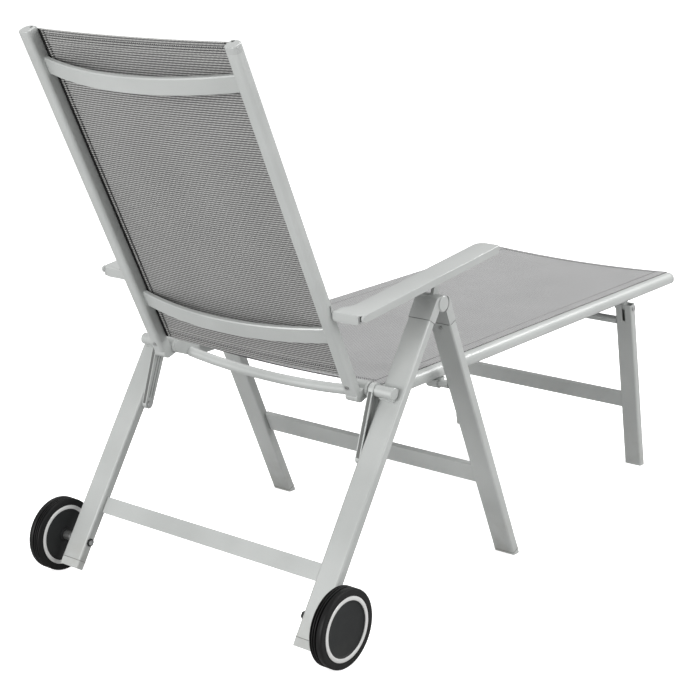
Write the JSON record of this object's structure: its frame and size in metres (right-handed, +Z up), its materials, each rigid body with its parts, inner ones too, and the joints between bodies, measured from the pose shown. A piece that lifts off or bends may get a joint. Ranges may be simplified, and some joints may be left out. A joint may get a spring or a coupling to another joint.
{
  "type": "sun lounger",
  "caption": "Folding sun lounger with a ribbed sling seat and back, reclining backrest with racked armrests, A-shaped side frames, folding foot supports and rear wheels.",
  "frame": {"origin": "centre of the footprint on the floor", "axes": "+Z up, -Y towards the foot end, +X towards the left of a person sitting in it"},
  "size_m": [0.7042, 1.466, 1.0307],
  "materials": {
    "frame": "light grey satin powder coat",
    "fitting": "light grey satin powder coat on cast fittings",
    "moulding": "light grey moulded plastic",
    "foot": "grey plastic plugs",
    "fastener": "plated steel",
    "sling": "grey ribbed mesh sling",
    "tyre": "black plastic tread",
    "wheel": "charcoal moulded disc",
    "ring": "silver ring"
  },
  "bodies": {
    "rear_frame": {"rear_leg_left": "frame", "rear_leg_right": "frame", "rear_cross_bar": "frame", "rear_apex_caps": "moulding", "latch_pins": "fastener", "hinge_saddles": "fitting", "link_rivets": "fastener", "rear_foot_plugs": "foot", "wheel_axles": "fastener", "axle_nuts": "fastener"},
    "front_frame": {"front_leg_left": "frame", "front_leg_right": "frame", "front_cross_bar": "frame", "front_apex_caps": "moulding", "apex_pins": "frame", "front_feet": "foot", "front_cap_screws": "fastener"},
    "link_left": {"link_left": "fitting"},
    "link_right": {"link_right": "fitting"},
    "seat": {"seat_rail_left": "frame", "seat_rail_right": "frame", "seat_end_caps": "moulding", "seat_hinge_forks": "fitting", "seat_bow_tube": "frame", "seat_fabric": "sling", "seat_spreader": "frame", "seat_pivots": "fitting", "support_tongues": "fitting"},
    "hinge_pin": {"hinge_stub_left": "fastener", "hinge_stub_right": "fastener"},
    "back": {"back_rail_left": "frame", "back_rail_right": "frame", "back_top_caps": "moulding", "back_hinge_plugs": "fitting", "back_screws": "fastener", "back_upper_bar": "frame", "back_lower_bar": "frame", "back_fabric": "sling"},
    "arm_pin_left": {"arm_pin_left": "fastener"},
    "arm_pin_right": {"arm_pin_right": "fastener"},
    "armrest_left": {"armrest_left": "moulding", "arm_hinge_left": "moulding", "arm_rack_left": "moulding"},
    "armrest_right": {"armrest_right": "moulding", "arm_hinge_right": "moulding", "arm_rack_right": "moulding"},
    "foot_supports": {"support_leg_left": "frame", "support_leg_right": "frame", "support_upper_tube": "frame", "support_lower_bar": "frame", "support_feet": "foot", "support_pins": "fastener"},
    "wheel_left": {"tyre_left": "tyre", "wheel_disc_left": "wheel", "wheel_rings_left": "ring"},
    "wheel_right": {"tyre_right": "tyre", "wheel_disc_right": "wheel", "wheel_rings_right": "ring"}
  },
  "joints": [
    {"name": "fold", "type": "hinge", "parent": "rear_frame", "child": "front_frame", "pos_m": [0, 0.278, 0.554], "axis": [1, 0, 0], "range_deg": [0, 56]},
    {"name": "link_left_turn", "type": "hinge", "parent": "rear_frame", "child": "link_left", "pos_m": [0, 0.446, 0.3045], "axis": [1, 0, 0], "range_deg": [-136.6, 0]},
    {"name": "link_right_turn", "type": "hinge", "parent": "rear_frame", "child": "link_right", "pos_m": [0, 0.446, 0.3045], "axis": [1, 0, 0], "range_deg": [-136.6, 0]},
    {"name": "seat_turn", "type": "hinge", "parent": "link_left", "child": "seat", "pos_m": [0, 0.406, 0.418], "axis": [1, 0, 0], "range_deg": [0, 90]},
    {"name": "hinge_pin_turn", "type": "hinge", "parent": "seat", "child": "hinge_pin", "pos_m": [0, 0.406, 0.418], "axis": [1, 0, 0], "range_deg": [0, 113.2]},
    {"name": "recline", "type": "hinge", "parent": "hinge_pin", "child": "back", "pos_m": [0, 0.406, 0.418], "axis": [1, 0, 0], "range_deg": [-64.4, 0]},
    {"name": "arm_pin_left_turn", "type": "hinge", "parent": "back", "child": "arm_pin_left", "pos_m": [0, 0.5, 0.5665], "axis": [1, 0, 0], "range_deg": [-116.8, 0]},
    {"name": "arm_pin_right_turn", "type": "hinge", "parent": "back", "child": "arm_pin_right", "pos_m": [0, 0.5, 0.5665], "axis": [1, 0, 0], "range_deg": [-116.8, 0]},
    {"name": "armrest_left_turn", "type": "hinge", "parent": "arm_pin_left", "child": "armrest_left", "pos_m": [0, 0.5, 0.5665], "axis": [1, 0, 0], "range_deg": [0, 39]},
    {"name": "armrest_right_turn", "type": "hinge", "parent": "arm_pin_right", "child": "armrest_right", "pos_m": [0, 0.5, 0.5665], "axis": [1, 0, 0], "range_deg": [0, 39]},
    {"name": "foot_support_fold", "type": "hinge", "parent": "seat", "child": "foot_supports", "pos_m": [0, -0.5235, 0.38], "axis": [1, 0, 0], "range_deg": [0, 100]},
    {"name": "wheel_left_spin", "type": "hinge", "parent": "rear_frame", "child": "wheel_left", "pos_m": [0.339, 0.604, 0.0696], "axis": [1, 0, 0], "continuous": true},
    {"name": "wheel_right_spin", "type": "hinge", "parent": "rear_frame", "child": "wheel_right", "pos_m": [-0.339, 0.604, 0.0696], "axis": [1, 0, 0], "continuous": true}
  ],
  "couplings": [
    {"joint": "link_left_turn", "follows": "fold", "ratio": -2.4334},
    {"joint": "link_right_turn", "follows": "fold", "ratio": -2.4334},
    {"joint": "seat_turn", "follows": "fold", "ratio": 1.6013},
    {"joint": "hinge_pin_turn", "follows": "fold", "ratio": 2.0179},
    {"joint": "arm_pin_left_turn", "follows": "fold", "ratio": -2.0786},
    {"joint": "arm_pin_right_turn", "follows": "fold", "ratio": -2.0786},
    {"joint": "armrest_left_turn", "follows": "recline", "ratio": -0.603},
    {"joint": "armrest_right_turn", "follows": "recline", "ratio": -0.603}
  ]
}
